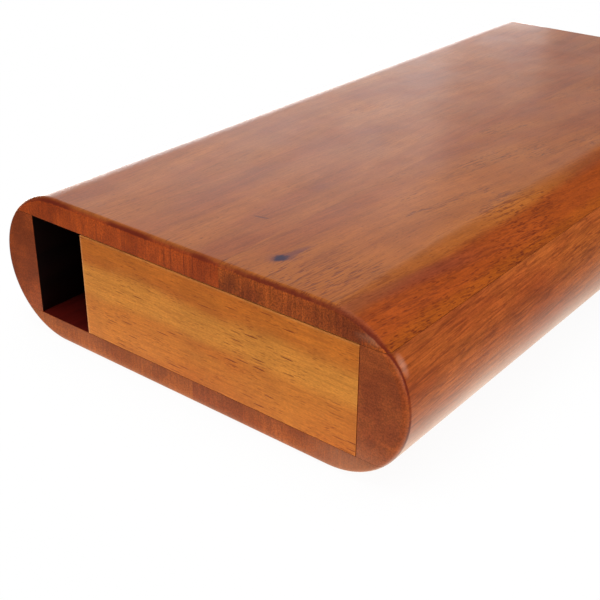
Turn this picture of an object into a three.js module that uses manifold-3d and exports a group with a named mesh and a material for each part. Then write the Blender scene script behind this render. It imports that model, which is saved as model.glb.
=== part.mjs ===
// A travel didgeridoo: one long air channel folded five times inside a flat wooden box.
// The player's lips seal on the turned mouthpiece at one end, and the sound leaves through the
// rectangular outlet at the other. Millimetres, +Z up, lying flat.
// X is the width with the outlet on -X, Y is the length with the bell end on -Y.
// The origin is the middle of the footprint, at the surface that the box lies on.
import * as THREE from 'three';
import { mergeVertices } from 'three/addons/utils/BufferGeometryUtils.js';
import Module from 'manifold-3d';

// The box
const bodyLength = 300;
const boardThickness = 8;
const railWidth = 15.5;
const endRound = 2;
const glueLine = 0.15;

// The folded air channel
const channelCount = 5;
const channelWidth = 22.6;
const channelHeight = 35;
const dividerThickness = 4;
const turnGap = 24;
const bellBlockDepth = 16;
const mouthBlockDepth = 24;

// Seams where two planks are glued edge to edge, measured from the box's middle
const topSeam = 16;
const bottomSeam = 4;

// The turned mouthpiece, and the seat bored for its spigot in the mouth end
const mouthProud = 12;
const lipBore = 30;
const lipWidth = 5.5;
const collarBreak = 1;
const collarLap = 4;
const throatShoulder = 1.3;
const seatWall = 1.2;
const seatFloor = 10;
const spigotClearance = 0.3;

// How finely curves are cut into flats
const sideSegments = 24;
const edgeSegments = 3;
const turnedSegments = 48;
const smallArcSegments = 10;
const funnelSegments = 8;

// Sizes that follow from the ones above
const cavityWidth = channelCount * channelWidth + (channelCount - 1) * dividerThickness;
const bodyWidth = cavityWidth + 2 * railWidth;
const bodyThickness = channelHeight + 2 * boardThickness;
const midHeight = bodyThickness / 2;
const bellFace = -(bodyLength + mouthProud) / 2;
const mouthFace = bellFace + bodyLength;
const cavityStart = bellFace + bellBlockDepth;
const cavityEnd = mouthFace - mouthBlockDepth;
const innerBottom = boardThickness + glueLine;
const innerTop = bodyThickness - boardThickness - glueLine;
const pitch = channelWidth + dividerThickness;
const outletEdge = -cavityWidth / 2 + channelWidth;
const beyond = bodyLength + bodyWidth;

// The mouthpiece stands on the axis of the channel furthest from the outlet.
// Its seat keeps a wall inside the block's height, and stays hidden under the collar.
const mouthX = cavityWidth / 2 - channelWidth / 2;
const throatRadius = channelWidth / 2 - throatShoulder;
const lipRadius = lipWidth / 2;
const lipBoreRadius = lipBore / 2;
const collarRadius = lipBoreRadius + lipWidth;
const funnelTop = mouthProud - lipRadius;
const seatRadius = Math.min(channelHeight / 2 - glueLine - seatWall, collarRadius - collarLap);
const seatDepth = mouthBlockDepth - seatFloor;
const spigotRadius = seatRadius - spigotClearance;
const spigotDepth = seatDepth - glueLine;

const colours = {
  redPlank: { color: 0x9c5430, roughness: 0.38 },
  brownPlank: { color: 0x8c4a2a, roughness: 0.38 },
  rail: { color: 0x93482a, roughness: 0.4 },
  paleBlock: { color: 0xbb7331, roughness: 0.55 },
  channelWood: { color: 0x5a2c1a, roughness: 0.7 },
  turned: { color: 0x8a4526, roughness: 0.35 },
};

const wasm = await Module();
wasm.setup();

// Radius of the mouthpiece's bore at a height above the end face: a smooth funnel, throat to lip.
function funnelRadius(height) {
  const ease = (1 - Math.cos((Math.PI * height) / funnelTop)) / 2;
  return throatRadius + (lipBoreRadius - throatRadius) * ease;
}

function toSolid(geometry) {
  const bare = geometry.clone();
  bare.deleteAttribute('normal');
  bare.deleteAttribute('uv');
  const merged = mergeVertices(bare, 1e-4);
  return new wasm.Manifold(new wasm.Mesh({
    numProp: 3,
    vertProperties: new Float32Array(merged.attributes.position.array),
    triVerts: new Uint32Array(merged.index.array),
  }));
}

function toGeometry(solid) {
  const mesh = solid.getMesh();
  const geometry = new THREE.BufferGeometry();
  geometry.setAttribute('position', new THREE.BufferAttribute(mesh.vertProperties, 3));
  geometry.setIndex(new THREE.BufferAttribute(mesh.triVerts, 1));
  geometry.computeVertexNormals();
  return geometry;
}

function boxBetween(low, high) {
  const size = high.map((value, axis) => value - low[axis]);
  const middle = high.map((value, axis) => (value + low[axis]) / 2);
  return new THREE.BoxGeometry(...size).translate(...middle);
}

// The outside of the whole box: full-round sides, flat top and bottom, and rounded end edges.
function envelope() {
  const section = new THREE.Shape();
  const sideCentre = bodyWidth / 2 - midHeight;
  section.absarc(sideCentre, midHeight, midHeight, -Math.PI / 2, Math.PI / 2);
  section.absarc(-sideCentre, midHeight, midHeight, Math.PI / 2, (3 * Math.PI) / 2);
  const geometry = new THREE.ExtrudeGeometry(section, {
    depth: bodyLength - 2 * endRound,
    curveSegments: sideSegments,
    bevelEnabled: true,
    bevelSize: endRound,
    bevelThickness: endRound,
    bevelOffset: -endRound,
    bevelSegments: edgeSegments,
  });
  // The section's own y becomes the height, and the extrusion runs from the mouth end to the bell.
  const standUp = new THREE.Matrix4().set(1, 0, 0, 0, 0, 0, -1, mouthFace - endRound, 0, 1, 0, 0, 0, 0, 0, 1);
  return toSolid(geometry.applyMatrix4(standUp));
}

// A round hole on the mouthpiece's axis that reaches a depth into the mouth end.
function mouthHole(radius, depth) {
  const hole = new THREE.CylinderGeometry(radius, radius, depth + beyond, turnedSegments);
  return toSolid(hole.translate(mouthX, mouthFace + (beyond - depth) / 2, midHeight));
}

const box = envelope();
const seatHole = mouthHole(seatRadius, seatDepth);
const throatHole = mouthHole(throatRadius, bodyLength);

function cutFromBox(low, high) {
  return box.intersect(toSolid(boxBetween(low, high))).subtract(seatHole);
}

// A top or bottom board is two planks with a seam between them.
function plank(isTop, seam, side) {
  const low = [-beyond, -beyond, isTop ? bodyThickness - boardThickness : -beyond];
  const high = [beyond, beyond, isTop ? beyond : boardThickness];
  if (side === 'left') {
    high[0] = seam - glueLine / 2;
  } else {
    low[0] = seam + glueLine / 2;
  }
  return toGeometry(cutFromBox(low, high));
}

function rail(side) {
  const inner = cavityWidth / 2;
  const low = [side === 'left' ? -beyond : inner, -beyond, innerBottom];
  const high = [side === 'left' ? -inner : beyond, beyond, innerTop];
  return toGeometry(cutFromBox(low, high));
}

// The pale block fills the bell end from the outlet to the far rail.
function bellEndBlock() {
  return boxBetween(
    [outletEdge, bellFace, innerBottom],
    [cavityWidth / 2 - glueLine, cavityStart, innerTop],
  );
}

function mouthEndBlock() {
  const halfWidth = cavityWidth / 2 - glueLine;
  const block = toSolid(boxBetween([-halfWidth, cavityEnd, innerBottom], [halfWidth, mouthFace, innerTop]));
  return toGeometry(block.subtract(seatHole).subtract(throatHole));
}

// A divider is glued to one end block, and its free end is rounded where the air turns round it.
function divider(index) {
  const fromMouth = index % 2 === 1;
  const fixedEnd = fromMouth ? cavityEnd - glueLine : cavityStart + glueLine;
  const freeEnd = fromMouth ? cavityStart + turnGap : cavityEnd - turnGap;
  const middle = cavityWidth / 2 - index * pitch + dividerThickness / 2;
  const nose = dividerThickness / 2;
  const outwards = fromMouth ? -1 : 1;
  const outline = new THREE.Shape();
  outline.moveTo(middle - outwards * nose, fixedEnd);
  outline.lineTo(middle + outwards * nose, fixedEnd);
  const startAngle = fromMouth ? Math.PI : 0;
  outline.absarc(middle, freeEnd - outwards * nose, nose, startAngle, startAngle + Math.PI);
  const strip = new THREE.ExtrudeGeometry(outline, {
    depth: innerTop - innerBottom,
    curveSegments: smallArcSegments,
    bevelEnabled: false,
  });
  return strip.translate(0, 0, innerBottom);
}

// Turned on a lathe: a spigot that goes into the box, a collar that stands on the end face,
// a full-round lip, and a funnel that narrows to the throat.
function mouthpiece() {
  const outline = new THREE.Path();
  const lipCentre = lipBoreRadius + lipRadius;
  outline.moveTo(throatRadius, -spigotDepth);
  outline.lineTo(spigotRadius, -spigotDepth);
  outline.lineTo(spigotRadius, glueLine);
  outline.lineTo(collarRadius - collarBreak, glueLine);
  outline.lineTo(collarRadius, glueLine + collarBreak);
  outline.lineTo(collarRadius, mouthProud - lipRadius);
  const points = outline.getPoints();
  for (let step = 1; step < smallArcSegments; step += 1) {
    const angle = (Math.PI * step) / smallArcSegments;
    points.push(new THREE.Vector2(lipCentre + lipRadius * Math.cos(angle), funnelTop + lipRadius * Math.sin(angle)));
  }
  for (let step = 0; step <= funnelSegments; step += 1) {
    const height = funnelTop * (1 - step / funnelSegments);
    points.push(new THREE.Vector2(funnelRadius(height), height));
  }
  points.push(points[0].clone());
  return new THREE.LatheGeometry(points, turnedSegments);
}

const didgeridoo = new THREE.Group();

function add(name, geometry, finish, position = [0, 0, 0]) {
  const material = new THREE.MeshStandardMaterial({ ...finish, metalness: 0 });
  const mesh = new THREE.Mesh(geometry, material);
  mesh.name = name;
  mesh.position.set(...position);
  didgeridoo.add(mesh);
}

add('top_plank_left', plank(true, topSeam, 'left'), colours.redPlank);
add('top_plank_right', plank(true, topSeam, 'right'), colours.brownPlank);
add('bottom_plank_left', plank(false, bottomSeam, 'left'), colours.brownPlank);
add('bottom_plank_right', plank(false, bottomSeam, 'right'), colours.redPlank);
add('left_rail', rail('left'), colours.rail);
add('right_rail', rail('right'), colours.rail);
add('bell_end_block', bellEndBlock(), colours.paleBlock);
add('mouth_end_block', mouthEndBlock(), colours.paleBlock);
for (let index = 1; index < channelCount; index += 1) {
  add(`channel_divider_${index}`, divider(index), colours.channelWood);
}
add('mouthpiece', mouthpiece(), colours.turned, [mouthX, mouthFace, midHeight]);

export default didgeridoo;
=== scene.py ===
# The looks of a travel didgeridoo: a flat, glued and lacquered wooden box with a folded air channel.
# Every wooden piece is modelled again over its solid with fine curves and eased edges, then finished.
import math
import bpy
from mathutils import Matrix, Vector


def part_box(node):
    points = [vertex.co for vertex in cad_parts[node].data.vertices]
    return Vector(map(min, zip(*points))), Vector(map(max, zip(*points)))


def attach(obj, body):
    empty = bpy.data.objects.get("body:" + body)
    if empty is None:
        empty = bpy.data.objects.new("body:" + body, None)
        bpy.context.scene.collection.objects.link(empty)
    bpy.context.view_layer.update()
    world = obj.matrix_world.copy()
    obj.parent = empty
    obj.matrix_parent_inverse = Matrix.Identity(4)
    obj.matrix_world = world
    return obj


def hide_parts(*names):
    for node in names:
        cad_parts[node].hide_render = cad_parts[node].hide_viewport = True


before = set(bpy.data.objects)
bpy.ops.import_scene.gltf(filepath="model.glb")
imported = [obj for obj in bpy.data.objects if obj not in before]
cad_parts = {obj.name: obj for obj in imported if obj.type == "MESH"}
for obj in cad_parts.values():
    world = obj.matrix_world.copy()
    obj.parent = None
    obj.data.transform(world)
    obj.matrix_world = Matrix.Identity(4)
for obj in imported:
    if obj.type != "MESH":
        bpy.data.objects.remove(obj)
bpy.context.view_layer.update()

mm = 0.001
body = "root"

# How near counts as the same place, how near is merged or flush, and how much of a face's normal has to
# lie along an axis
samePlace = 1e-6
mergeDistance = 1e-5
squarely = 0.9

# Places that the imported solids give, in metres
topLow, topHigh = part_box("top_plank_left")
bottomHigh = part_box("bottom_plank_left")[1]
rightRailLow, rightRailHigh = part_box("right_rail")
bellBlockLow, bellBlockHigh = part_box("bell_end_block")
mouthBlockLow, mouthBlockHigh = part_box("mouth_end_block")
mouthpieceLow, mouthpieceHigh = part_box("mouthpiece")

bellFace = topLow.y
mouthFace = topHigh.y
boxLength = mouthFace - bellFace
boxMiddleY = (mouthFace + bellFace) / 2
thickness = topHigh.z
midHeight = thickness / 2
halfWidth = rightRailHigh.x
topInner = topLow.z
bottomInner = bottomHigh.z
topSeam = (topHigh.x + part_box("top_plank_right")[0].x) / 2
bottomSeam = (bottomHigh.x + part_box("bottom_plank_right")[0].x) / 2
railInner = rightRailLow.x
mouthX = (mouthpieceLow.x + mouthpieceHigh.x) / 2


# Helpers for modelling by hand

def deselectAll():
    if bpy.context.object is not None and bpy.context.object.mode != "OBJECT":
        bpy.ops.object.mode_set(mode="OBJECT")
    bpy.ops.object.select_all(action="DESELECT")


def takeUp(piece):
    # makes one piece the only one selected, and the active one
    deselectAll()
    piece.select_set(True)
    bpy.context.view_layer.objects.active = piece


def editPiece(piece, mode="FACE"):
    takeUp(piece)
    bpy.ops.object.mode_set(mode="EDIT")
    bpy.ops.mesh.select_mode(type=mode)
    bpy.ops.mesh.select_all(action="DESELECT")


def selectAll():
    bpy.ops.mesh.select_all(action="SELECT")


def leaveEdit():
    bpy.ops.object.mode_set(mode="OBJECT")


def selectEdges(piece, test):
    # test reads an edge and its middle
    mesh = piece.data
    bpy.ops.mesh.select_all(action="DESELECT")
    leaveEdit()
    for edge in mesh.edges:
        start, end = (mesh.vertices[index].co for index in edge.vertices)
        edge.select = test(edge, (start + end) / 2)
    bpy.ops.object.mode_set(mode="EDIT")


def settle(piece, name):
    # the finished object sits at the origin, unturned and unscaled
    takeUp(piece)
    bpy.ops.object.transform_apply(location=True, rotation=True, scale=True)
    piece.name = piece.data.name = name
    return piece


def applyModifier(piece, kind, **settings):
    takeUp(piece)
    modifier = piece.modifiers.new(kind.lower(), kind)
    for key, value in settings.items():
        setattr(modifier, key, value)
    bpy.ops.object.modifier_apply(modifier=modifier.name)


def keepInFront(piece, point, normal, close=True):
    # cuts the piece by a plane, keeps what lies in front of it and, unless told not to, closes the cut
    editPiece(piece)
    selectAll()
    bpy.ops.mesh.bisect(
        plane_co=point, plane_no=normal, use_fill=close, clear_inner=True, threshold=samePlace
    )
    leaveEdit()


arris = {"width": 0.18 * mm, "segments": 2, "sharpDegrees": 40, "smoothDegrees": 50}


def smoothShade(piece):
    takeUp(piece)
    bpy.ops.object.shade_smooth_by_angle(angle=math.radians(arris["smoothDegrees"]))
    applyModifier(piece, "WEIGHTED_NORMAL", keep_sharp=True)


def easeEdges(piece, width=None, seam=None):
    # a fine eased arris on every sharp edge but those of a glued seam, whose x is given
    editPiece(piece, "EDGE")
    bpy.ops.mesh.edges_select_sharp(sharpness=math.radians(arris["sharpDegrees"]))
    leaveEdit()
    sharp = {edge.index for edge in piece.data.edges if edge.select}
    bpy.ops.object.mode_set(mode="EDIT")
    selectEdges(piece, lambda edge, middle: (
        edge.index in sharp and (seam is None or abs(middle.x - seam) > samePlace)
    ))
    bpy.ops.mesh.bevel(offset=width or arris["width"], segments=arris["segments"], clamp_overlap=True)
    leaveEdit()
    smoothShade(piece)


def boreHole(piece, cutter):
    # takes the cutter's shape out of the piece, and keeps the cutter for the next one
    applyModifier(piece, "BOOLEAN", object=cutter, operation="DIFFERENCE", solver="EXACT")
    smoothShade(piece)


# Helpers for node trees

def addNode(tree, kind, sockets=None, **settings):
    node = tree.nodes.new("ShaderNode" + kind)
    for key, value in settings.items():
        setattr(node, key, value)
    for key, value in (sockets or {}).items():
        plug(tree, node.inputs[key], value)
    return node


def plug(tree, socket, value):
    # links a socket, or gives it a constant. Colours are red, green and blue, and opaque.
    if isinstance(value, bpy.types.NodeSocket):
        tree.links.new(value, socket)
    else:
        socket.default_value = (*value, 1) if socket.type == "RGBA" else value


def calc(tree, operation, first, second=0.0, clamp=False):
    node = addNode(tree, "Math", {0: first, 1: second}, operation=operation, use_clamp=clamp)
    return node.outputs[0]


def plus(tree, first, second, clamp=False):
    return calc(tree, "ADD", first, second, clamp)


def minus(tree, first, second):
    return calc(tree, "SUBTRACT", first, second)


def times(tree, first, second, clamp=False):
    return calc(tree, "MULTIPLY", first, second, clamp)


def vectorMath(tree, operation, first, second=None):
    node = addNode(tree, "VectorMath", {0: first}, operation=operation)
    if second is not None:
        plug(tree, node.inputs[1], second)
    return node.outputs["Value" if operation in ("LENGTH", "DOT_PRODUCT") else "Vector"]


def axisOf(tree, vector, axis):
    return addNode(tree, "SeparateXYZ", {"Vector": vector}).outputs[axis]


def remap(tree, value, fromLow, fromHigh, toLow=0.0, toHigh=1.0):
    node = addNode(
        tree, "MapRange",
        {"Value": value, "From Min": fromLow, "From Max": fromHigh, "To Min": toLow, "To Max": toHigh},
        interpolation_type="SMOOTHSTEP",
    )
    return node.outputs["Result"]


def spread(tree, pattern, reach, low=0.0, high=1.0):
    # turns the middle of a noise, reach to each side of 0.5, into the whole way from low to high
    return remap(tree, pattern, 0.5 - reach, 0.5 + reach, low, high)


def crestLines(tree, pattern, width, strength=1.0):
    # thin lines where a noise passes through its middle
    return remap(tree, calc(tree, "ABSOLUTE", minus(tree, pattern, 0.5)), 0.0, width, strength, 0.0)


def blend(tree, share, first, second):
    # the colours' sockets stand after those for numbers and vectors
    return addNode(tree, "Mix", {0: share, 6: first, 7: second}, data_type="RGBA").outputs[2]


def stretched(tree, vector, across, along, depth):
    # scales a place, so that a pattern is across mm wide, along mm long and depth mm deep
    return vectorMath(tree, "MULTIPLY", vector, (1 / (across * mm), 1 / (along * mm), 1 / (depth * mm)))


def noise(tree, vector, detail=3.0, rough=0.55):
    sockets = {"Vector": vector, "Scale": 1.0, "Detail": detail, "Roughness": rough}
    return addNode(tree, "TexNoise", sockets).outputs["Fac"]


def swayed(tree, place, wander):
    # moves a place sideways by a slow noise, so that lines along the grain wander
    slow = noise(tree, stretched(tree, place, *wander["size"]), detail=wander["detail"])
    sway = addNode(tree, "CombineXYZ", {"X": times(tree, slow, wander["reach"] * mm)})
    return vectorMath(tree, "ADD", place, sway.outputs[0])


def mixShaders(tree, share, first, second):
    return addNode(tree, "MixShader", {0: share, 1: first, 2: second}).outputs[0]


def newGroup(name, inputs, outputs):
    # an input without a value is a vector, and all the others are numbers
    group = bpy.data.node_groups.new(name, "ShaderNodeTree")
    for label, value in inputs.items():
        kind = "NodeSocketVector" if value is None else "NodeSocketFloat"
        socket = group.interface.new_socket(name=label, in_out="INPUT", socket_type=kind)
        if value is not None:
            socket.default_value = value
    for label in outputs:
        group.interface.new_socket(name=label, in_out="OUTPUT", socket_type="NodeSocketFloat")
    inside = group.nodes.new("NodeGroupInput")
    outside = group.nodes.new("NodeGroupOutput")
    return group, inside.outputs, outside.inputs


def useGroup(tree, group, sockets):
    return addNode(tree, "Group", sockets, node_tree=group).outputs


# Effects that more than one finish uses. In all of them the grain runs along the vector's Y.
# Each pattern of the figure has a width, length and depth in millimetres, a detail and a roughness.
figurePatterns = {
    "Cloud": ((13, 44, 16), 3.0, 0.5),
    "Stripe": ((3.4, 75, 5), 3.5, 0.6),
    "Thread": ((5.5, 170, 7), 3.0, 0.62),
    "Strand": ((1.5, 30, 1.5), 2.5, 0.6),
    "Fibre": ((0.42, 9, 0.42), 2.0, 0.55),
    "Sheen": ((42, 11, 42), 2.0, 0.55),
    "Speckle": ((0.45, 0.9, 0.45), 1.0, 0.55),
}
unbentPatterns = ("Sheen", "Speckle")
lineWidths = {"Thread": 0.022, "Strand": 0.045}
figureWander = {"size": (40, 160, 40), "detail": 2.0, "reach": 16}


def makeFigureGroup():
    # soft patches, stripes, growth lines, fine dark strands, fibres, a sheen across the grain, and grit
    group, given, result = newGroup("woodFigure", {"Vector": None}, figurePatterns)
    place = given["Vector"]
    bent = swayed(group, place, figureWander)
    for label, (size, detail, rough) in figurePatterns.items():
        start = place if label in unbentPatterns else bent
        pattern = noise(group, stretched(group, start, *size), detail=detail, rough=rough)
        if label in lineWidths:
            pattern = crestLines(group, pattern, lineWidths[label])
        plug(group, result[label], pattern)
    return group


poreWander = {"size": (9, 22, 9), "detail": 1.0, "reach": 1.6}
poreChance = {"reach": 0.45, "faintest": 0.08}


def makePoresGroup():
    # open vessels: thin dark dashes on a long face, and dots where the grain ends
    group, given, result = newGroup("woodPores", {
        "Vector": None, "Width": 0.5, "Length": 5.0, "Reach": 0.3, "Rarity": 0.1, "Edge": 0.5,
    }, ["Pores"])
    across = calc(group, "DIVIDE", 1 / mm, given["Width"])
    along = calc(group, "DIVIDE", 1 / mm, given["Length"])
    scale = addNode(group, "CombineXYZ", {"X": across, "Y": along, "Z": across})
    cells = vectorMath(group, "MULTIPLY", swayed(group, given["Vector"], poreWander), scale.outputs[0])
    vessel = addNode(
        group, "TexVoronoi", {"Vector": cells, "Scale": 1.0, "Randomness": 1.0},
        feature="F1", voronoi_dimensions="3D",
    )
    soft = times(group, given["Reach"], given["Edge"])
    mask = remap(group, vessel.outputs["Distance"], soft, given["Reach"], 1.0, 0.0)
    chance = addNode(group, "SeparateColor", {"Color": vessel.outputs["Color"]}).outputs[0]
    often = plus(group, given["Rarity"], poreChance["reach"])
    shown = remap(group, chance, given["Rarity"], often, poreChance["faintest"])
    plug(group, result["Pores"], times(group, mask, shown))
    return group


# The cut end and its dark line, by how far the surface has turned from the long grain, 0, to the end, 1.
# The line's four places are given for the sides, with what the top adds to them.
endCut = {"from": 0.5, "full": 0.9}
endLine = {"start": (0.0, 0.04), "full": (0.21, 0.57), "fade": (0.34, 0.55), "gone": (0.54, 0.44)}
endLineTop = {"from": 14 * mm, "full": 3 * mm}
endLineWear = {
    "size": (1.6, 1.6, 1.6), "depth": 0.16, "patch": (17, 9, 9), "patchFade": (0.36, 0.58),
    "faintest": 0.5,
}


def makeEndGrainGroup():
    # where the surface cuts across the grain, and the line where the end rounds over: on the mahogany
    # the dark line that the lacquer leaves, on the pale block a painted highlight.
    # It lies near the end face along the top, and out at the long grain round the sides
    group, given, result = newGroup(
        "endGrain", {"Vector": None, "Normal": None, "Axis": None, "Top": 1.0}, ["EndGrain", "Arris"]
    )
    facing = calc(group, "ABSOLUTE", vectorMath(group, "DOT_PRODUCT", given["Normal"], given["Axis"]))
    plug(group, result["EndGrain"], remap(group, facing, endCut["from"], endCut["full"]))
    below = minus(group, given["Top"], axisOf(group, given["Vector"], "Z"))
    nearTop = remap(group, below, endLineTop["full"], endLineTop["from"], 1.0, 0.0)
    ragged = noise(group, stretched(group, given["Vector"], *endLineWear["size"]), detail=2.0)
    worn = plus(group, facing, times(group, minus(group, ragged, 0.5), endLineWear["depth"]))
    turn = {
        place: plus(group, side, times(group, nearTop, added))
        for place, (side, added) in endLine.items()
    }
    rise = remap(group, worn, turn["start"], turn["full"])
    fall = remap(group, worn, turn["fade"], turn["gone"], 1.0, 0.0)
    patches = noise(group, stretched(group, given["Vector"], *endLineWear["patch"]))
    patchy = remap(group, patches, *endLineWear["patchFade"], endLineWear["faintest"])
    plug(group, result["Arris"], times(group, times(group, rise, fall), patchy))
    return group


handlingSizes = {"smudge": (22, 30, 22), "scratch": (0.25, 22, 6), "patch": (30, 30, 30)}
scratchTurn = (0.3, 0.5, 0.9)
scratchFade = {"line": (0.74, 0.8), "patch": (0.58, 0.68)}


def makeHandlingGroup():
    # where the lacquer is a little duller or brighter, with a few hairline scratches
    group, given, result = newGroup("handling", {"Vector": None}, ["Smudge", "Scratch"])
    place = given["Vector"]
    smudge = noise(group, stretched(group, place, *handlingSizes["smudge"]), detail=4.0)
    plug(group, result["Smudge"], smudge)
    turned = addNode(group, "Mapping", {"Vector": place, "Rotation": scratchTurn}).outputs[0]
    lines = noise(group, stretched(group, turned, *handlingSizes["scratch"]), detail=1.0)
    patch = noise(group, stretched(group, place, *handlingSizes["patch"]), detail=1.0)
    shown = remap(group, patch, *scratchFade["patch"])
    plug(group, result["Scratch"], times(group, remap(group, lines, *scratchFade["line"]), shown))
    return group


figureGroup = makeFigureGroup()
poresGroup = makePoresGroup()
endGrainGroup = makeEndGrainGroup()
handlingGroup = makeHandlingGroup()
print("effects ready")


# The finishes

def startFinish(name):
    material = bpy.data.materials.new(name)
    material.use_nodes = True
    tree = material.node_tree
    shader = next(node for node in tree.nodes if node.type == "BSDF_PRINCIPLED")
    return material, tree, shader


def scaleColour(tree, colour, factor):
    return addNode(tree, "VectorMath", {0: colour, "Scale": factor}, operation="SCALE").outputs[0]


# Width, length and depth in millimetres of the noises that fray marks, sway bands and ring turned wood
noiseSizes = {"mark": (1.1, 2.6, 1.1), "band": (30, 26, 30), "turning": (0.5, 0.5, 1)}


def markShare(tree, place, mark):
    # how strongly a spot shows: its edge says how ragged it is, and where it starts to fade and ends
    ragged, core, end = mark["edge"]
    turned = addNode(tree, "Mapping", {
        "Vector": place, "Location": Vector(mark["at"]) * mm, "Scale": Vector(mark["size"]) * mm,
        "Rotation": (0, 0, math.radians(mark.get("turn", 0))),
    }, vector_type="TEXTURE")
    frayed = times(tree, noise(tree, stretched(tree, place, *noiseSizes["mark"])), ragged)
    distance = plus(tree, vectorMath(tree, "LENGTH", turned.outputs[0]), frayed)
    return remap(tree, distance, core, end, mark["strength"], 0.0)


def bandShare(tree, place, band):
    # a stripe of other wood along the plank, whose edges wander a little. It is placed at the bell end.
    lengthwise = axisOf(tree, place, "Y")
    lean = times(tree, minus(tree, lengthwise, bellFace), band["slope"])
    wander = minus(tree, noise(tree, stretched(tree, place, *noiseSizes["band"]), detail=2.0), 0.5)
    across = minus(tree, axisOf(tree, place, band["axis"]), lean)
    across = plus(tree, across, times(tree, wander, band["wander"] * mm))
    rise, fall, ends = ([value * mm for value in band[key]] for key in ("rise", "fall", "ends"))
    share = times(tree, remap(tree, across, *rise), remap(tree, across, *fall, 1.0, 0.0))
    share = times(tree, share, band["strength"])
    return times(tree, share, remap(tree, lengthwise, *ends, 1.0, 0.0))


def turningLines(tree, place):
    # the fine rings that a lathe tool leaves round the mouthpiece's axis
    centred = addNode(tree, "Mapping", {
        "Vector": place, "Location": (-mouthX, 0, -midHeight), "Scale": (1, 0, 1),
    })
    radius = vectorMath(tree, "LENGTH", centred.outputs[0])
    ring = addNode(tree, "CombineXYZ", {"X": radius, "Y": axisOf(tree, place, "Y")})
    return noise(tree, stretched(tree, ring.outputs[0], *noiseSizes["turning"]), detail=2.0)


reliefDepth = 0.05 * mm


def addRelief(tree, shader, height, strength):
    relief = addNode(tree, "Bump", {"Height": height, "Strength": strength, "Distance": reliefDepth})
    plug(tree, shader.inputs["Normal"], relief.outputs["Normal"])


# How far to each side of its middle each pattern's noise is spread out
patternReach = {
    "cloud": 0.2, "stripe": 0.16, "fibre": 0.2, "sheen": 0.16, "grit": 0.2, "endCloud": 0.12,
    "ray": 0.16, "turning": 0.15, "smudge": 0.2,
}


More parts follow.
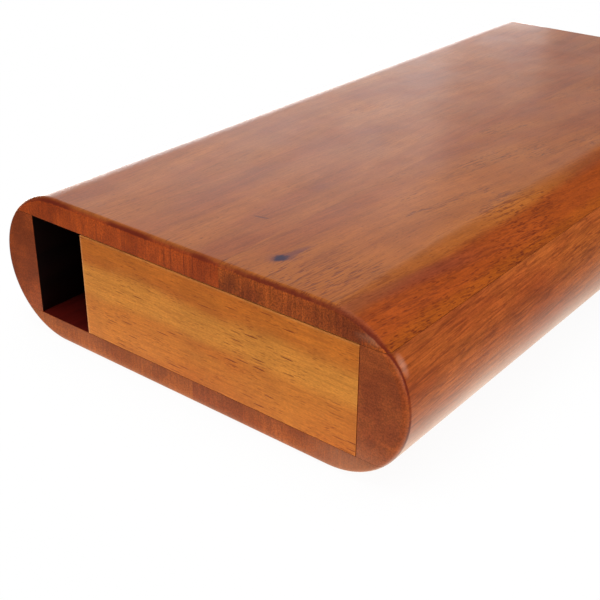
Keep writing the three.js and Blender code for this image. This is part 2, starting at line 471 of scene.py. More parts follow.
def lacqueredWood(name, look):
    material, tree, shader = startFinish(name)
    coordinates = addNode(tree, "TexCoord")
    place = coordinates.outputs["Object"]
    plank = addNode(tree, "Mapping", {
        "Vector": place, "Location": Vector(look["start"]) * mm,
        "Rotation": [math.radians(angle) for angle in look["lean"]],
    }).outputs[0]

    figure = useGroup(tree, figureGroup, {"Vector": plank})
    finePores = useGroup(tree, poresGroup, {"Vector": plank, **look["finePores"]})["Pores"]
    openPores = useGroup(tree, poresGroup, {"Vector": plank, **look["openPores"]})["Pores"]
    cut = useGroup(tree, endGrainGroup, {
        "Vector": place, "Normal": coordinates.outputs["Normal"],
        "Axis": look["grainAxis"], "Top": thickness,
    })
    handling = useGroup(tree, handlingGroup, {"Vector": place})

    def factor(pattern, kind, depth, lighter=1.0):
        # a pattern's factor on the colour, a depth below 1 to a depth above it
        return spread(tree, pattern, patternReach[kind], 1 - depth, 1 + depth * lighter)

    # long grain: patches of two tones, then stripes, fibres, sheen and growth lines over them
    cloud = spread(tree, figure["Cloud"], patternReach["cloud"])
    colour = blend(tree, cloud, look["dark"], look["light"])
    openShare = remap(tree, figure["Cloud"], look["openFrom"], look["openFrom"] + look["openReach"])
    for band in look["bands"]:
        share = bandShare(tree, place, band)
        colour = blend(tree, share, colour, band["colour"])
        openShare = plus(tree, openShare, times(tree, share, band["pores"]), clamp=True)
    stripe = factor(figure["Stripe"], "stripe", look["stripeDepth"], look["lighter"])
    fibre = factor(figure["Fibre"], "fibre", look["fibreDepth"], look["lighter"])
    sheen = factor(figure["Sheen"], "sheen", look["sheenDepth"])
    grit = factor(figure["Speckle"], "grit", look["gritDepth"])
    colour = scaleColour(tree, colour, times(tree, times(tree, stripe, fibre), times(tree, sheen, grit)))
    threads = times(tree, figure["Thread"], look["threadDepth"])
    strandShare = plus(tree, look["strandDepth"], times(tree, openShare, look["strandBusy"]))
    strands = times(tree, figure["Strand"], strandShare, clamp=True)
    fineShare = times(tree, finePores, look["fineDepth"])
    openShare = times(tree, openPores, times(tree, openShare, look["openDepth"]))
    for share, tint in (
        (threads, "thread"), (strands, "thread"), (fineShare, "pore"), (openShare, "pore"),
    ):
        colour = blend(tree, share, colour, look[tint])

    # the cut end drinks more lacquer: darker, finely speckled, with faint rays and growth lines
    rays = noise(tree, stretched(tree, plank, *look["raySize"]), detail=3.0)
    endCloud = spread(tree, figure["Cloud"], patternReach["endCloud"])
    endColour = blend(tree, endCloud, look["endDark"], look["endLight"])
    rayTone = factor(rays, "ray", look["rayDepth"])
    speckleTone = factor(figure["Speckle"], "grit", look["speckleDepth"])
    endColour = scaleColour(tree, endColour, times(tree, rayTone, speckleTone))
    rayLines = crestLines(tree, rays, look["rayWidth"], look["rayLines"])
    endThreads = times(tree, threads, look["endThread"])
    endPores = times(tree, finePores, look["endPoreDepth"])
    for share, tint in ((rayLines, "thread"), (endThreads, "thread"), (endPores, "pore")):
        endColour = blend(tree, share, endColour, look[tint])
    colour = blend(tree, cut["EndGrain"], colour, endColour)
    if look["turningDepth"]:
        turning = turningLines(tree, place)
        colour = scaleColour(tree, colour, factor(turning, "turning", look["turningDepth"]))
    for mark in look["marks"]:
        colour = blend(tree, markShare(tree, place, mark), colour, mark["colour"])
    # the arris line: on the mahogany the dark line the lacquer leaves, on the pale block a painted
    # highlight
    colour = blend(tree, times(tree, cut["Arris"], look["arrisDepth"]), colour, look["arris"])
    scratches = times(tree, handling["Scratch"], look["scratchDepth"])
    colour = blend(tree, scratches, colour, look["scratch"])
    plug(tree, shader.inputs["Base Color"], colour)

    roughness = look["roughness"]
    shiny, smudged = roughness - look["shinier"], roughness + look["duller"]
    dull = spread(tree, handling["Smudge"], patternReach["smudge"], shiny, smudged)
    dull = plus(tree, dull, times(tree, cut["EndGrain"], look["endDull"]))
    plug(tree, shader.inputs["Roughness"], plus(tree, dull, scratches, clamp=True))
    bare = times(tree, cut["EndGrain"], look["coat"] * look["endBare"])
    plug(tree, shader.inputs["Coat Weight"], minus(tree, look["coat"], bare))
    shader.inputs["Coat Roughness"].default_value = look["coatRoughness"]
    shader.inputs["Coat IOR"].default_value = look["ior"]
    shader.inputs["IOR"].default_value = look["ior"]
    shader.inputs["Specular IOR Level"].default_value = look["specular"]

    dips = plus(tree, openShare, times(tree, fineShare, look["fineDip"]))
    dips = plus(tree, dips, times(tree, figure["Fibre"], look["fibreDip"]))
    if look["turningDepth"]:
        dips = plus(tree, dips, turning)
    addRelief(tree, shader, minus(tree, 1.0, dips), look["relief"])
    return material


# Colours are linear red, green and blue. Sizes are in millimetres and angles in degrees.
plankLook = {
    "start": (0, 0, 0),
    "lean": (0, 0, 2),
    "grainAxis": (0, 1, 0),
    "dark": (0.272, 0.064, 0.014),
    "light": (0.348, 0.098, 0.017),
    "pore": (0.085, 0.014, 0.005),
    "thread": (0.13, 0.022, 0.007),
    "threadDepth": 0.16,
    "strandDepth": 0.14,
    "strandBusy": 0.16,
    "stripeDepth": 0.075,
    "fibreDepth": 0.11,
    "lighter": 0.7,
    "sheenDepth": 0.04,
    "gritDepth": 0.07,
    "bands": [],
    "finePores": {"Width": 0.5, "Length": 3.4, "Reach": 0.3, "Rarity": 0.2},
    "fineDepth": 0.34,
    "openPores": {"Width": 0.85, "Length": 4.2, "Reach": 0.28, "Rarity": 0.35},
    "openFrom": 0.5,
    "openReach": 0.14,
    "openDepth": 0.5,
    "raySize": (1.1, 30, 30),
    "rayDepth": 0.09,
    "rayWidth": 0.035,
    "rayLines": 0.35,
    "speckleDepth": 0.24,
    "endPoreDepth": 0.3,
    "endThread": 0.6,
    "endDark": (0.27, 0.038, 0.005),
    "endLight": (0.39, 0.062, 0.007),
    "arris": (0.11, 0.011, 0.003),
    "arrisDepth": 0.95,
    "marks": [],
    "turningDepth": 0,
    "scratch": (0.55, 0.36, 0.24),
    "scratchDepth": 0.2,
    "roughness": 0.34,
    "shinier": 0.04,
    "duller": 0.06,
    "endDull": 0.22,
    "endBare": 0.85,
    "ior": 1.5,
    "coat": 0.55,
    "coatRoughness": 0.25,
    "specular": 0.2,
    "relief": 0.5,
    "fineDip": 0.6,
    "fibreDip": 0.3,
}

knotCore = {
    "at": (27.5, -142.8, 51), "size": (2.0, 3.1, 3), "turn": -15, "edge": (1.0, 0.95, 1.6),
    "strength": 0.95, "colour": (0.020, 0.009, 0.034),
}
knotRing = {
    "at": (27.7, -142.2, 51), "size": (2.6, 4.2, 3), "turn": -40, "edge": (1.1, 0.7, 2.2),
    "strength": 0.62, "colour": (0.12, 0.032, 0.035),
}
knotTail = {
    "at": (28.4, -137.0, 51), "size": (1.4, 6.5, 3), "turn": -8, "edge": (1.0, 0.6, 2.0),
    "strength": 0.75, "colour": (0.12, 0.028, 0.03),
}
darkStreak = {
    "at": (5, -124.5, 51), "size": (3.0, 0.5, 2), "turn": 12, "edge": (0.6, 0.7, 1.6),
    "strength": 0.75, "colour": (0.07, 0.018, 0.018),
}
purplePatches = [
    {"at": (4, -94, 51), "size": (3, 5, 6), "edge": (1.2, 0.5, 2.0), "strength": 0.4,
     "colour": (0.15, 0.032, 0.024)},
    *(
        {"at": at, "size": size, "turn": turn, "edge": (1.8, 0.4, 2.2),
         "strength": strength, "colour": (0.16, 0.034, 0.024)}
        for at, size, turn, strength in (
            ((-13, -38, 51), (7, 10, 12), -20, 0.4), ((-4, -52, 51), (6, 12, 12), 15, 0.3),
        )
    ),
]
growthLines = [
    {"at": (x, -156, 46.5), "size": (0.2, 3, 5.5), "edge": (0.5, 0.6, 1.5),
     "strength": strength, "colour": (0.10, 0.012, 0.004)}
    for x, strength in ((-5.2, 0.6), (-2.4, 0.5), (0.2, 0.35), (2.8, 0.75), (6.3, 0.5), (13.2, 0.4))
]
seamShade = {
    "at": (20.5, -156, 46.5), "size": (3.4, 2, 3.0), "edge": (1.2, 0.3, 2.0),
    "strength": 0.45, "colour": (0.085, 0.018, 0.006),
}
# painted highlight: a pale patch on the right rail's rounded edge near the end, where the lacquer would
# catch light
paintedEdgeHighlight = {
    "at": (75.6, -153.0, 39.8), "size": (2.8, 1.5, 3.6), "edge": (0.7, 0.4, 1.7),
    "strength": 0.30, "colour": (0.62, 0.33, 0.24),
}
# painted sheen: a pale patch on the end of the top board's rounded tip
paintedTipSheen = {
    "at": (69.0, -156, 45.6), "size": (5.8, 0.7, 1.6), "edge": (1.0, 0.3, 1.9),
    "strength": 0.34, "colour": (0.40, 0.21, 0.13),
}

topRed = lacqueredWood("topRedMahogany", {
    **plankLook, "marks": [darkStreak, *purplePatches, *growthLines],
})

bandLook = {"axis": "X", "slope": 0.0, "wander": 3, "ends": (400, 500), "pores": 0.0}
goldenTop = {
    **bandLook, "rise": (20, 34), "fall": (54, 58), "ends": (-40, 20), "strength": 0.42,
    "colour": (0.40, 0.118, 0.016),
}
goldenEdge = {
    **bandLook, "rise": (51, 55), "fall": (59.5, 63), "ends": (-40, 10), "strength": 0.5,
    "colour": (0.40, 0.120, 0.018),
}
redShoulder = {
    **bandLook, "rise": (60, 64), "fall": (90, 95), "strength": 0.9, "pores": 0.1,
    "colour": (0.285, 0.050, 0.006),
}
darkStripe = {
    **bandLook, "rise": (55.5, 58), "fall": (59.5, 62.5), "slope": 0.11, "ends": (-118, -86),
    "strength": 0.55, "colour": (0.15, 0.030, 0.018),
}
amberShoulder = {
    **bandLook, "rise": (69, 72), "fall": (90, 95), "pores": 0.15, "strength": 0.9,
    "colour": (0.305, 0.066, 0.006),
}
farStripe = {
    **darkStripe, "rise": (57, 59.5), "fall": (61.5, 64.5), "slope": 0, "ends": (-20, -48),
    "strength": 0.35,
}
poreShoulder = {
    **bandLook, "rise": (58, 65), "fall": (90, 95), "ends": (-105, -35), "strength": 0.12, "pores": 5.0,
    "colour": (0.29, 0.058, 0.007),
}
busyEnd = {
    **bandLook, "rise": (30, 38), "fall": (58, 62), "ends": (-142, -118), "strength": 0.12, "pores": 4.6,
    "colour": (0.25, 0.058, 0.014),
}
topBrown = lacqueredWood("topBrownMahogany", {
    **plankLook,
    "start": (210, 40, 12),
    "lean": (0, 0, 7),
    "dark": (0.28, 0.066, 0.013),
    "light": (0.35, 0.098, 0.015),
    "pore": (0.095, 0.011, 0.004),
    "openPores": {"Width": 0.65, "Length": 4.0, "Reach": 0.36, "Rarity": 0.0},
    "openDepth": 0.76,
    "fineDepth": 0.48,
    "strandDepth": 0.2,
    "strandBusy": 0.5,
    "bands": [
        goldenTop, goldenEdge, poreShoulder, busyEnd, redShoulder, amberShoulder, darkStripe, farStripe,
    ],
    "endDark": (0.19, 0.033, 0.006),
    "endLight": (0.325, 0.066, 0.009),
    "rayDepth": 0.14,
    "speckleDepth": 0.34,
    "marks": [knotTail, knotRing, knotCore, seamShade, paintedTipSheen],
})
# the bottom board's end is darker towards the joint above it, a painted shade, and has a painted
# reflection of the bright table along its lower edge
jointShade = {
    "at": (0, -156, 8.3), "size": (400, 2.5, 5), "edge": (0.5, 0.1, 1.5),
    "strength": 0.3, "colour": (0.12, 0.026, 0.006),
}
# painted reflection of the bright table along the lower edge of the end
paintedLowerReflection = {
    "at": (0, -155.5, 0.2), "size": (400, 3, 2.6), "edge": (0.6, 0.3, 1.6),
    "strength": 0.32, "colour": (0.40, 0.20, 0.11),
}
# painted reflection of the bright table: paler towards the lower right corner of the end
paintedFootReflection = {
    "at": (66, -156, 3), "size": (20, 3, 11), "edge": (0.6, 0.2, 1.6),
    "strength": 0.34, "colour": (0.40, 0.21, 0.13),
}
bottomBrown = lacqueredWood("bottomBrownMahogany", {
    **plankLook, "start": (-340, 90, 25), "marks": [jointShade, paintedLowerReflection],
    "endDark": (0.23, 0.045, 0.007), "endLight": (0.32, 0.073, 0.011),
})
bottomRed = lacqueredWood("bottomRedMahogany", {
    **plankLook, "start": (520, -70, 40), "marks": [jointShade, paintedLowerReflection, paintedFootReflection],
    "endDark": (0.24, 0.044, 0.007), "endLight": (0.32, 0.070, 0.011),
})
railLook = {
    **plankLook,
    "lean": (-1.5, 0, 0),
    "dark": (0.286, 0.055, 0.011),
    "light": (0.376, 0.091, 0.016),
    "pore": (0.12, 0.016, 0.005),
    "endDark": (0.225, 0.042, 0.009),
    "endLight": (0.32, 0.070, 0.013),
    "raySize": (30, 30, 1.1),
    "rayDepth": 0.06,
    "rayLines": 0.12,
    "threadDepth": 0.28,
    "strandDepth": 0.5,
    "stripeDepth": 0.11,
    "fibreDepth": 0.24,
    "openFrom": 0.56,
}
leftRailWood = lacqueredWood("leftRailMahogany", {
    **railLook, "start": (77, 310, -60),
    "endDark": (0.19, 0.032, 0.006), "endLight": (0.29, 0.052, 0.009),
})
rightRailWood = lacqueredWood("rightRailMahogany", {
    **railLook, "start": (-130, -250, 95), "marks": [paintedFootReflection, paintedEdgeHighlight],
})
print("mahogany ready")

goldenBand = {
    **bandLook, "axis": "Z", "rise": (21, 26), "fall": (31, 36), "wander": 7, "strength": 0.85,
    "colour": (0.60, 0.230, 0.034),
}
orangeBand = {
    **bandLook, "axis": "Z", "rise": (34, 38), "fall": (60, 65), "wander": 6, "strength": 0.6,
    "colour": (0.51, 0.138, 0.013),
}
# painted highlights: pale lines along the block's top and side edges near the end face, where the eased
# edges would catch light
paintedTopEdgeHighlight = {
    **bandLook, "axis": "Z", "rise": (42.0, 42.35), "fall": (60, 65), "wander": 0.3,
    "ends": (-150, -145), "strength": 0.2, "colour": (0.74, 0.36, 0.12),
}
paintedSideEdgeHighlight = {
    **bandLook, "rise": (-60, -59), "fall": (-41.5, -41.15), "wander": 0.3, "ends": (-150, -145),
    "strength": 0.35, "colour": (0.70, 0.33, 0.14),
}
paleLook = {
    **plankLook,
    "start": (45, 12, 70),
    "lean": (0, 0, 89),
    "grainAxis": (1, 0, 0),
    "dark": (0.450, 0.114, 0.014),
    "light": (0.535, 0.168, 0.022),
    "bands": [goldenBand, orangeBand, paintedTopEdgeHighlight, paintedSideEdgeHighlight],
    "pore": (0.15, 0.017, 0.003),
    "thread": (0.30, 0.062, 0.008),
    "threadDepth": 0.22,
    "strandDepth": 0.12,
    "strandBusy": 0.1,
    "stripeDepth": 0.06,
    "fibreDepth": 0.10,
    "sheenDepth": 0.05,
    "gritDepth": 0.08,
    # on the block the arris colour is a painted highlight along its eased edges
    "arris": (0.75, 0.36, 0.10),
    "arrisDepth": 0.6,
    "finePores": {"Width": 0.5, "Length": 3.6, "Reach": 0.34, "Rarity": 0.3, "Edge": 0.4},
    "fineDepth": 0.55,
    "openPores": {"Width": 0.8, "Length": 12.0, "Reach": 0.26, "Rarity": 0.5, "Edge": 0.7},
    "openFrom": 0.28,
    "openDepth": 0.85,
    "roughness": 0.5,
    "coat": 0.02,
    "coatRoughness": 0.3,
}
darkDashes = [
    {"at": (x, -156, z), "size": (reach, 2, 0.15), "edge": (0.7, 0.3, 1.4),
     "strength": 0.75, "colour": (0.16, 0.020, 0.004)}
    for x, z, reach in ((-9.6, 35.7, 6.2), (-28.5, 37.6, 4.2), (10.8, 35.5, 5.5), (-30.4, 18.0, 4.2),
                        (35.9, 38.5, 2.4), (-26.3, 24.6, 2.9), (-14.6, 20.7, 2.6), (24.6, 18.9, 2.5))
]
paleWood = lacqueredWood("paleBlockWood", {**paleLook, "marks": darkDashes})

stainAndShadeLook = {
    "pores": {"Width": 0.7, "Length": 7.0, "Reach": 0.3},
    "reach": 0.2,
    "floorTurn": (0.4, 0.8),
    "shadedWallDark": (0.002, 0.0004, 0.0004),
    "shadedWallLight": (0.005, 0.0007, 0.0006),
    "litFloorDark": (0.06, 0.0035, 0.0022),
    "litFloorLight": (0.10, 0.0065, 0.004),
    "pore": (0.004, 0.0006, 0.0005),
    "poreDepth": 0.6,
    "roughness": (0.5, 0.65),
    "specular": 0.2,
    "relief": 0.5,
}


def stainedShadedChannel():
    # the inside is brushed with a dark red stain before the box is glued up. Over the stain, walls and
    # ceilings carry a painted shade and floors are painted lighter, as if lit
    look = stainAndShadeLook
    material, tree, shader = startFinish("stainedShadedChannelWood")
    coordinates = addNode(tree, "TexCoord")
    place = coordinates.outputs["Object"]
    figure = useGroup(tree, figureGroup, {"Vector": place})
    pores = useGroup(tree, poresGroup, {"Vector": place, **look["pores"]})["Pores"]
    brushed = spread(tree, figure["Stripe"], look["reach"])
    wall = blend(tree, brushed, look["shadedWallDark"], look["shadedWallLight"])
    floor = blend(tree, brushed, look["litFloorDark"], look["litFloorLight"])
    # floors lighter as if lit, walls and ceilings darker: painted light and shade over the stain
    upright = remap(tree, axisOf(tree, coordinates.outputs["Normal"], "Z"), *look["floorTurn"])
    colour = blend(tree, upright, wall, floor)
    colour = blend(tree, times(tree, pores, look["poreDepth"]), colour, look["pore"])
    plug(tree, shader.inputs["Base Color"], colour)
    roughness = spread(tree, figure["Cloud"], look["reach"], *look["roughness"])
    plug(tree, shader.inputs["Roughness"], roughness)
    shader.inputs["Specular IOR Level"].default_value = look["specular"]
    addRelief(tree, shader, figure["Fibre"], look["relief"])
    return material


channelStainAndShade = stainedShadedChannel()

turnedLook = {
    **plankLook,
    "start": (15, 400, 300),
    "dark": (0.15, 0.032, 0.009),
    "light": (0.26, 0.062, 0.013),
    "endDark": (0.14, 0.024, 0.006),
    "endLight": (0.24, 0.050, 0.010),
    "strandDepth": 0.3,
    "fibreDepth": 0.16,
    "rayLines": 0.2,
    "turningDepth": 0.1,
    "arrisDepth": 0.2,
    "coat": 0.6,
    "coatRoughness": 0.14,
}
turnedWood = lacqueredWood("turnedMouthpieceWood", turnedLook)
print("finishes ready")


# The outside of the whole box, which the planks and rails are cut from

boxShape = {
    "sideVertices": 128,
    "endRound": 2.0 * mm,
    "endSegments": 6,
    "flatDegrees": 0.5,
}


def makeRod(name, vertices, radius, x, inner, outer):
    # a rod along the length, at the middle of the thickness
    deselectAll()
    bpy.ops.mesh.primitive_cylinder_add(
        vertices=vertices, radius=radius, depth=outer - inner, end_fill_type="NGON",
        location=(x, (outer + inner) / 2, midHeight), rotation=(math.pi / 2, 0, 0),
    )
    return settle(bpy.context.object, name)


def makeWholeBox():
    sideCentre = halfWidth - midHeight
    whole = makeRod("whole_box", boxShape["sideVertices"], midHeight, 0, bellFace, mouthFace)

    # keep one half of the round, move it out to the side, and draw the flats in to the middle
    keepInFront(whole, (0, 0, 0), (1, 0, 0), close=False)
    editPiece(whole)
    selectAll()
    bpy.ops.transform.translate(value=(sideCentre, 0, 0))
    bpy.ops.mesh.select_mode(type="EDGE")
    selectEdges(whole, lambda edge, middle: abs(middle.x - sideCentre) < samePlace)
    bpy.ops.mesh.extrude_region_move(TRANSFORM_OT_translate={"value": (-sideCentre, 0, 0)})
    leaveEdit()
    applyModifier(whole, "MIRROR", merge_threshold=mergeDistance)

    # one face for each end and each flat
    editPiece(whole)
    selectAll()
    bpy.ops.mesh.remove_doubles(threshold=mergeDistance)
    bpy.ops.mesh.normals_make_consistent(inside=False)
    bpy.ops.mesh.dissolve_limited(angle_limit=math.radians(boxShape["flatDegrees"]))

    # the outer edge of each end is rounded over
    bpy.ops.mesh.select_mode(type="EDGE")
    selectEdges(
        whole, lambda edge, middle: abs(abs(middle.y - boxMiddleY) - boxLength / 2) < samePlace
    )
    bpy.ops.mesh.bevel(offset=boxShape["endRound"], segments=boxShape["endSegments"])
    leaveEdit()
    return whole


wholeBox = makeWholeBox()
print("whole box:", len(wholeBox.data.polygons), "faces")


# The seat for the mouthpiece's spigot, and the throat that leads on into the channel

mouthHoles = {
    "seatRadius": 16.15 * mm,
    "seatDepth": 14 * mm,
    "throatRadius": 10 * mm,
    "past": 5 * mm,
    "vertices": 96,
}


def makeHoleCutter(name, radius, inner):
    return makeRod(name, mouthHoles["vertices"], radius, mouthX, inner, mouthFace + mouthHoles["past"])


seatCutter = makeHoleCutter("seat_cutter", mouthHoles["seatRadius"], mouthFace - mouthHoles["seatDepth"])
throatCutter = makeHoleCutter(
    "throat_cutter", mouthHoles["throatRadius"], mouthBlockLow.y - mouthHoles["past"]
)


# Planks and rails, cut from the whole box

joint = {"gap": 0.09 * mm, "footGap": 0.03 * mm}


def takeNode(piece, node):
    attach(piece, body)
    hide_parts(node)


def finishPiece(piece, node, wood, insideTest=None, seam=None, width=None):
    # gives the wood, and the dark stain with its painted shade on the faces that look into the air
    # channel
    piece.data.materials.clear()
    piece.data.materials.append(wood)
    if insideTest is not None:
        piece.data.materials.append(channelStainAndShade)
        for polygon in piece.data.polygons:
            if insideTest(polygon):
                polygon.material_index = 1
    easeEdges(piece, width, seam)
    takeNode(piece, node)


def cutFromWholeBox(node, planes):
    piece = wholeBox.copy()
    piece.data = wholeBox.data.copy()
    piece.name = piece.data.name = node + "_wood"
    bpy.context.scene.collection.objects.link(piece)
    for point, normal in planes:
        keepInFront(piece, point, normal)
    return piece


def looksInto(axis, reach):
    # a face on a wall, floor or ceiling of the air channel: axis 0 is across and 2 is up
    return lambda polygon: (
        abs(abs(polygon.center[axis]) - reach) < mergeDistance and abs(polygon.normal[axis]) > squarely
    )


# the height of the board's inside face, which way the board lies from it, the seam, and the plank's side
for node, inner, upward, seam, side, wood, slot in (
    ("top_plank_left", topInner, 1, topSeam, -1, topRed, "red_plank"),
    ("top_plank_right", topInner, 1, topSeam, 1, topBrown, "brown_plank"),
    ("bottom_plank_left", bottomInner, -1, bottomSeam, -1, bottomBrown, "brown_plank"),
    ("bottom_plank_right", bottomInner, -1, bottomSeam, 1, bottomRed, "red_plank"),
):
    plank = cutFromWholeBox(node, [((0, 0, inner), (0, 0, upward)), ((seam, 0, 0), (side, 0, 0))])
    finishPiece(plank, node, wood, looksInto(2, inner), seam)
print("planks ready")

railTop = ((0, 0, topInner - joint["gap"]), (0, 0, -1))
railBottom = ((0, 0, bottomInner + joint["footGap"]), (0, 0, 1))
for node, side, wood in (("left_rail", -1, leftRailWood), ("right_rail", 1, rightRailWood)):
    rail = cutFromWholeBox(node, [railTop, railBottom, ((side * railInner, 0, 0), (side, 0, 0))])
    finishPiece(rail, node, wood, looksInto(0, railInner))
    if side > 0:
        boreHole(rail, seatCutter)
print("rails ready")


# Blocks and dividers inside the box

def makeBlock(name, low, high):
    deselectAll()
    middle = (low + high) / 2
    bpy.ops.mesh.primitive_cube_add(size=1, location=middle)
    block = bpy.context.object
    block.scale = high - low
    return settle(block, name)


blockShape = {"railGap": 0.22 * mm, "topGap": 0.3 * mm, "bottomGap": 0.04 * mm, "arris": 0.1 * mm}


def makeBellBlock():
    low = Vector((bellBlockLow.x, bellBlockLow.y, bottomInner + blockShape["bottomGap"]))
    high = Vector((railInner - blockShape["railGap"], bellBlockHigh.y, topInner - blockShape["topGap"]))
    block = makeBlock("bell_end_block_wood", low, high)
    finishPiece(
        block, "bell_end_block", paleWood,
        lambda polygon: polygon.normal.x < -squarely or polygon.normal.y > squarely,
        width=blockShape["arris"],
    )


def makeMouthBlock():
    low = Vector((-railInner + joint["gap"], mouthBlockLow.y, bottomInner + joint["gap"]))
    high = Vector((railInner - joint["gap"], mouthBlockHigh.y, topInner - joint["gap"]))
    block = makeBlock("mouth_end_block_wood", low, high)
    finishPiece(
        block, "mouth_end_block", paleWood, lambda polygon: polygon.normal.y < -squarely
    )
    boreHole(block, seatCutter)
    boreHole(block, throatCutter)


makeBellBlock()
makeMouthBlock()
print("blocks ready")

dividerShape = {"count": 4, "noseSegments": 10, "noseShare": 0.98}


def makeDivider(index):
    # odd ones are glued to the mouth end and even ones to the bell end, and the free end is a round nose
    node = f"channel_divider_{index}"
    low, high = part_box(node)
    low.z = bottomInner + joint["gap"]
    high.z = topInner - joint["gap"]
    divider = makeBlock(node + "_wood", low, high)
    free = low.y if index % 2 else high.y
    editPiece(divider, "EDGE")
    selectEdges(divider, lambda edge, middle: (
        abs(middle.z - midHeight) < samePlace and abs(middle.y - free) < samePlace
    ))
    nose = (high.x - low.x) / 2 * dividerShape["noseShare"]
    bpy.ops.mesh.bevel(offset=nose, segments=dividerShape["noseSegments"])
    leaveEdit()
    finishPiece(divider, node, channelStainAndShade)


for index in range(1, dividerShape["count"] + 1):
    makeDivider(index)
print("dividers ready")


# The turned mouthpiece: a spigot in its seat, a collar on the end face, a full-round lip and a funnel

mouthpieceShape = {
    "throatRadius": mouthHoles["throatRadius"],
    "spigotRadius": 15.85 * mm,
    "spigotBreak": 0.6 * mm,
    "collarRadius": 20.5 * mm,
    "collarBreak": 1.0 * mm,
    "breakSteps": 6,
    "glueLine": 0.05 * mm,
    "grooveAt": 3.6 * mm,
    "grooveDepth": 0.35 * mm,
    "grooveHalf": ((0.7, 0), (0.45, 0.25), (0.2, 0.85)),
    "lipBoreRadius": 15 * mm,
    "lipRadius": 2.75 * mm,
    "lipSteps": 20,
    "funnelSteps": 24,
    "turnSteps": 128,
}


def arc(radius, height, reach, start, end, steps):
    # points round a place on the profile, from one angle in degrees to another
    turns = [math.radians(start + (end - start) * step / steps) for step in range(steps + 1)]
    return [(radius + reach * math.cos(turn), height + reach * math.sin(turn)) for turn in turns]


def mouthpieceProfile():
    # pairs of a radius and a height above the end face, from the spigot's end round to the throat
    shape = mouthpieceShape
    bottom = mouthpieceLow.y - mouthFace
    spigot, collar = shape["spigotRadius"], shape["collarRadius"]
    glueLine, rounding = shape["glueLine"], shape["collarBreak"]
    lipHeight = mouthpieceHigh.y - mouthFace - shape["lipRadius"]
    lipMiddle = shape["lipBoreRadius"] + shape["lipRadius"]
    profile = [
        (shape["throatRadius"], bottom),
        (spigot - shape["spigotBreak"], bottom),
        (spigot, bottom + shape["spigotBreak"]),
        (spigot, glueLine),
        *arc(collar - rounding, glueLine + rounding, rounding, -90, 0, shape["breakSteps"]),
    ]
    before = [(-across, dip) for across, dip in shape["grooveHalf"]]
    for across, dip in (*before, (0, 1), *reversed(shape["grooveHalf"])):
        profile.append((collar - dip * shape["grooveDepth"], shape["grooveAt"] + across * mm))
    profile += arc(lipMiddle, lipHeight, shape["lipRadius"], 0, 180, shape["lipSteps"])
    for step in range(1, shape["funnelSteps"] + 1):
        height = lipHeight * (1 - step / shape["funnelSteps"])
        ease = (1 - math.cos(math.pi * height / lipHeight)) / 2
        widening = (shape["lipBoreRadius"] - shape["throatRadius"]) * ease
        profile.append((shape["throatRadius"] + widening, height))
    profile.append(profile[0])
    return profile


def makeMouthpiece():
    profile = mouthpieceProfile()
    deselectAll()
    bpy.ops.mesh.primitive_plane_add(size=mm, location=(0, 0, 0))
    piece = settle(bpy.context.object, "mouthpiece_turned")

    # draw the outline from a single point, then turn it about the mouthpiece's axis
    editPiece(piece, "VERT")
    selectAll()
    bpy.ops.mesh.merge(type="CENTER")
    bpy.ops.transform.translate(value=(mouthX + profile[0][0], mouthFace + profile[0][1], midHeight))
    for before, after in zip(profile, profile[1:]):
        step = (after[0] - before[0], after[1] - before[1], 0)
        bpy.ops.mesh.extrude_region_move(TRANSFORM_OT_translate={"value": step})
    selectAll()
    bpy.ops.mesh.spin(
        steps=mouthpieceShape["turnSteps"], angle=2 * math.pi, center=(mouthX, 0, midHeight),
        axis=(0, 1, 0),
    )
    selectAll()
    bpy.ops.mesh.remove_doubles(threshold=samePlace)
    bpy.ops.mesh.normals_make_consistent(inside=False)
    leaveEdit()
    piece.data.materials.append(turnedWood)
    smoothShade(piece)
    takeNode(piece, "mouthpiece")


makeMouthpiece()
print("mouthpiece ready")

for tool in (wholeBox, seatCutter, throatCutter):
    bpy.data.objects.remove(tool)


# The stage: a white table that glows round the object, soft lights, and the photographer's camera

tableLook = {
    "size": 6.0,
    "drop": 0.2 * mm,
    "near": 1.4,
    "far": 0.12,
    "reach": 30 * mm,
    "mouthShare": 0.56,
    "leftMirrored": 4.0,
    "leftFrom": 50 * mm,
    "leftFull": 110 * mm,
    "behindFrom": 20 * mm,
    "behindFull": 70 * mm,
    "shadowShare": 0.06,
    "bounce": (1.0, 0.9, 0.76),
    "paper": (0.9, 0.9, 0.9),
}


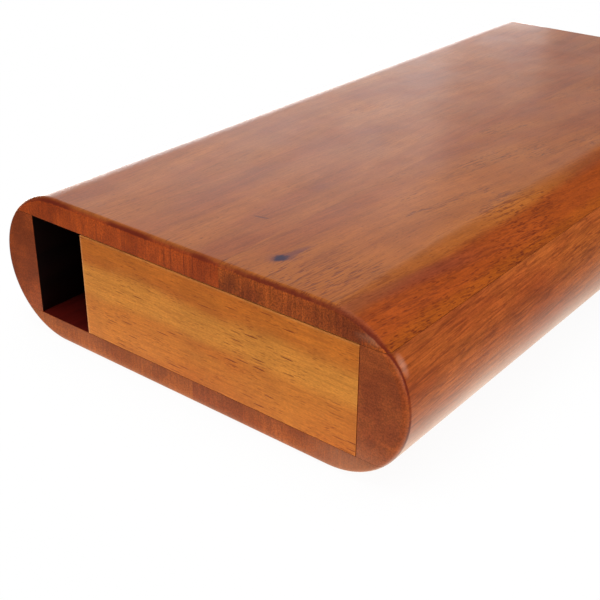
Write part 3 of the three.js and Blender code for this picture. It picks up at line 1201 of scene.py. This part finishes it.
def makeTable():
    deselectAll()
    bpy.ops.mesh.primitive_plane_add(size=tableLook["size"], location=(0, 0, -tableLook["drop"]))
    table = bpy.context.object
    table.name = "white_table"
    material, tree, shader = startFinish("whiteTable")
    look = tableLook
    place = addNode(tree, "TexCoord").outputs["Object"]
    lengthwise = axisOf(tree, place, "Y")
    sideways = axisOf(tree, place, "X")
    path = addNode(tree, "LightPath")

    # it glows close round the box, and less so towards the mouth end
    folded = vectorMath(tree, "ABSOLUTE", vectorMath(tree, "SUBTRACT", place, (0, boxMiddleY, 0)))
    beyond = vectorMath(tree, "SUBTRACT", folded, (halfWidth, boxLength / 2, 0))
    distance = vectorMath(tree, "LENGTH", vectorMath(tree, "MAXIMUM", beyond, (0, 0, 0)))
    fade = calc(tree, "POWER", math.e, calc(tree, "DIVIDE", distance, -look["reach"]))
    near = remap(tree, lengthwise, bellFace, mouthFace, look["near"], look["near"] * look["mouthShare"])

    # the left side's lacquer also mirrors a bright part further out, behind the bell end
    leftward = minus(tree, -halfWidth, sideways)
    leftBeyond = remap(tree, leftward, look["leftFrom"], look["leftFull"], 0.0, look["leftMirrored"])
    behind = remap(tree, lengthwise, bellFace + look["behindFrom"], bellFace + look["behindFull"])
    mirrored = times(tree, leftBeyond, times(tree, behind, path.outputs["Is Glossy Ray"]))
    glow = plus(tree, times(tree, fade, near), plus(tree, look["far"], mirrored))
    light = addNode(tree, "Emission", {"Strength": glow, "Color": look["bounce"]})

    # the camera sees white paper with a faint shadow, and nothing from below
    white = addNode(tree, "Emission", {"Strength": 1.0})
    paper = addNode(tree, "BsdfDiffuse", {"Color": look["paper"]})
    seen = mixShaders(tree, times(tree, fade, look["shadowShare"]), white.outputs[0], paper.outputs[0])
    both = mixShaders(tree, path.outputs["Is Camera Ray"], light.outputs[0], seen)
    fromBelow = addNode(tree, "NewGeometry").outputs["Backfacing"]
    hidden = times(tree, fromBelow, path.outputs["Is Camera Ray"])
    final = mixShaders(tree, hidden, both, addNode(tree, "BsdfTransparent").outputs[0])
    tree.nodes.remove(shader)
    surface = next(node for node in tree.nodes if node.type == "OUTPUT_MATERIAL").inputs[0]
    plug(tree, surface, final)
    table.data.materials.append(material)


# How bright the room is to the camera, to matt surfaces and in reflections
roomLook = {"Is Camera Ray": 1.0, "Is Diffuse Ray": 0.3, "Is Glossy Ray": 0.03}


def makeRoom():
    world = bpy.data.worlds.new("softRoom")
    bpy.context.scene.world = world
    world.use_nodes = True
    tree = world.node_tree
    path = addNode(tree, "LightPath")
    strength = 0.0
    for ray, share in roomLook.items():
        strength = plus(tree, strength, times(tree, path.outputs[ray], share))
    background = tree.nodes["Background"]
    plug(tree, background.inputs["Color"], (1, 1, 1))
    plug(tree, background.inputs["Strength"], strength)


def makeLight(name, place, target, width, height, brightness, mirrored):
    deselectAll()
    bpy.ops.object.light_add(type="AREA", location=place)
    light = bpy.context.object
    light.name = name
    light.data.shape = "RECTANGLE"
    light.data.size = width
    light.data.size_y = height
    light.data.energy = brightness * math.pi * width * height
    aim = Vector(target) - Vector(place)
    light.rotation_euler = aim.to_track_quat("-Z", "Y").to_euler()
    light.visible_camera = False
    light.visible_glossy = mirrored


# Each light's place, its target, its width, height and brightness, and whether the lacquer mirrors it
studioLights = {
    "back_left_panel": ((-0.328, 0.147, 0.125), (-0.107, -0.097, 0.125), 0.41, 0.25, 0.88, True),
    "back_low_panel": ((-0.30, 0.13, 0.037), (-0.107, -0.097, 0.037), 0.5, 0.072, 6.0, True),
    "back_right_panel": ((-0.123, 0.333, 0.115), (0.098, 0.089, 0.115), 0.145, 0.23, 0.4, True),
    "overhead_softbox": ((0.0, -0.1, 1.2), (0, -0.05, 0), 1.4, 1.4, 2.2, False),
    "front_softbox": ((-0.35, -1.2, 0.45), (0, -0.1, 0.02), 1.1, 0.9, 1.8, False),
    "right_softbox": ((1.2, 0.0, 0.22), (0, 0, 0.02), 0.9, 0.5, 2.2, False),
    "right_front_softbox": ((0.95, -0.50, 0.27), (0.075, -0.155, 0.038), 0.95, 0.5, 4.8, False),
}

photoCamera = {
    "place": (199.4 * mm, -351.3 * mm, 181.5 * mm),
    "ahead": (-0.5478, 0.6926, -0.4692),
    "rollDegrees": 0.42,
    "lens": 64.82,
    "sensor": 36,
    "clipStart": 10 * mm,
}


def makeCamera():
    deselectAll()
    bpy.ops.object.camera_add(location=photoCamera["place"])
    camera = bpy.context.object
    upright = Vector(photoCamera["ahead"]).to_track_quat("-Z", "Y").to_matrix().to_4x4()
    roll = Matrix.Rotation(math.radians(photoCamera["rollDegrees"]), 4, "Z")
    camera.rotation_euler = (upright @ roll).to_euler()
    camera.data.lens = photoCamera["lens"]
    camera.data.sensor_width = photoCamera["sensor"]
    camera.data.clip_start = photoCamera["clipStart"]
    bpy.context.scene.camera = camera


makeTable()
makeRoom()
for name, light in studioLights.items():
    makeLight(name, *light)
makeCamera()
bpy.context.scene.view_settings.view_transform = "Standard"
print("stage ready")
